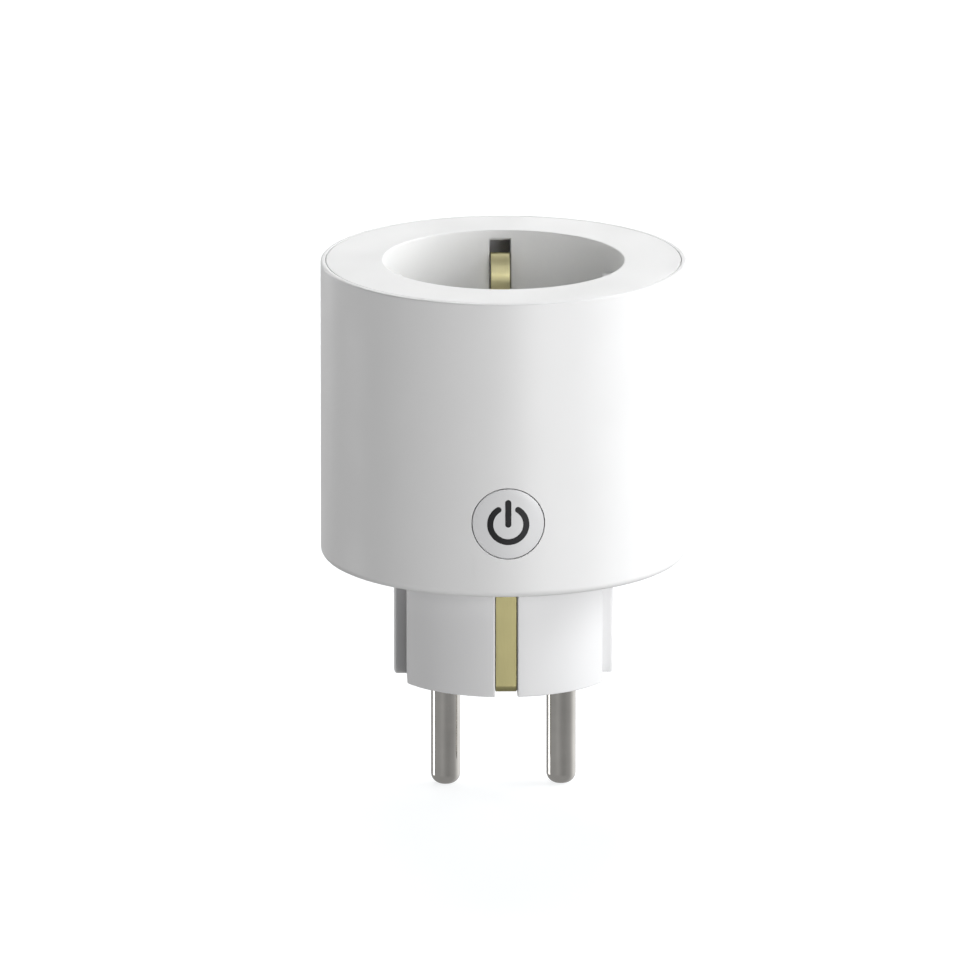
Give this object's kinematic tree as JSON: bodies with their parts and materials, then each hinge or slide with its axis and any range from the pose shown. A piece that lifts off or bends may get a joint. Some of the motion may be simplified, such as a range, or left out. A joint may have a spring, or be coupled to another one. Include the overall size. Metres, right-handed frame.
{
  "type": "smart plug",
  "caption": "Round white smart plug with a grounded socket in its top, a flush power button in front and a two-pin plug boss below.",
  "frame": {"origin": "centre of the plug boss's end face, midway between the two pins", "axes": "+Z from the plug pins up to the socket's mouth, +X along the row of pins, -Y to the button"},
  "size_m": [0.06, 0.06, 0.0888],
  "materials": {
    "housing_plastic": "fine satin moulded plastic",
    "face_plastic": "smooth satin moulded plastic",
    "plug_plastic": "satin moulded plastic",
    "button_plastic": "satin translucent-white plastic",
    "symbol_plastic": "matt dark grey",
    "pin_nickel": "polished nickel plate",
    "earth_brass": "pale satin brass",
    "contact_brass": "satin brass",
    "inner_plastic": "natural heat-resistant plastic",
    "spring_steel": "spring wire",
    "screw_steel": "zinc-plated steel",
    "board_laminate": "solder mask",
    "module_laminate": "solder mask",
    "shield_metal": "tinned steel",
    "black_plastic": "black moulded plastic",
    "led_resin": "clear resin",
    "relay_plastic": "blue moulded plastic",
    "coil_copper": "enamelled copper wire",
    "relay_iron": "plated iron",
    "capacitor_sleeve": "shrunk sleeve",
    "film_box": "moulded box",
    "varistor_epoxy": "dipped epoxy",
    "resistor_coat": "coated ceramic",
    "ferrite": "sintered ferrite",
    "shunt_alloy": "resistance alloy",
    "solder": "solder"
  },
  "bodies": {
    "root": {"housing_shell": "housing_plastic", "socket_cup": "face_plastic", "plug_base": "plug_plastic", "live_pin": "pin_nickel", "neutral_pin": "pin_nickel", "earth_strap_front": "earth_brass", "earth_strap_back": "earth_brass", "earth_bridge": "earth_brass", "live_contact": "contact_brass", "neutral_contact": "contact_brass", "live_busbar": "contact_brass", "relay_fixed_contact": "contact_brass", "contact_carrier": "inner_plastic", "shutter_spring": "spring_steel", "housing_screws": "screw_steel", "board_screws": "screw_steel", "main_board": "board_laminate", "control_board": "board_laminate", "wifi_module": "module_laminate", "wifi_shield": "shield_metal", "tact_switch": "black_plastic", "header_strip": "black_plastic", "power_chip": "black_plastic", "relay_base": "black_plastic", "status_leds": "led_resin", "relay_case": "relay_plastic", "relay_coil": "coil_copper", "relay_yoke": "relay_iron", "electrolytic_capacitor": "capacitor_sleeve", "film_capacitor": "film_box", "varistor": "varistor_epoxy", "fuse_resistor": "resistor_coat", "power_inductor": "ferrite", "metering_shunt": "shunt_alloy", "solder_joints": "solder"},
    "button": {"button_cap": "button_plastic", "power_symbol": "symbol_plastic"},
    "plunger": {"switch_plunger": "black_plastic"},
    "shutter": {"shutter": "inner_plastic"},
    "earth_clip_front": {"earth_clip_front": "earth_brass"},
    "earth_clip_back": {"earth_clip_back": "earth_brass"},
    "relay_armature": {"relay_armature": "relay_iron", "relay_moving_contact": "contact_brass"}
  },
  "joints": [
    {"name": "button_press", "type": "slide", "parent": "root", "child": "button", "axis": [0, 1, 0], "range_m": [0, 0.0005], "stiffness_N_per_m": 800},
    {"name": "plunger_press", "type": "slide", "parent": "root", "child": "plunger", "axis": [0, 1, 0], "range_m": [0, 0.0005]},
    {"name": "shutter_slide", "type": "slide", "parent": "root", "child": "shutter", "axis": [0, 1, 0], "range_m": [0, 0.0058], "stiffness_N_per_m": 60, "deforming": ["shutter_spring"]},
    {"name": "earth_clip_front_flex", "type": "hinge", "parent": "root", "child": "earth_clip_front", "pos_m": [0, -0.0209, 0.05], "axis": [1, 0, 0], "range_deg": [0, 4], "stiffness_Nm_per_rad": 1},
    {"name": "earth_clip_back_flex", "type": "hinge", "parent": "root", "child": "earth_clip_back", "pos_m": [0, 0.0209, 0.05], "axis": [-1, 0, 0], "range_deg": [0, 4], "stiffness_Nm_per_rad": 1},
    {"name": "relay_armature_swing", "type": "hinge", "parent": "root", "child": "relay_armature", "pos_m": [0.0127, 0.01155, 0.04175], "axis": [0, -1, 0], "range_deg": [0, 2.2], "stiffness_Nm_per_rad": 0.2}
  ],
  "couplings": [
    {"joint": "plunger_press", "follows": "button_press", "ratio": 1}
  ]
}
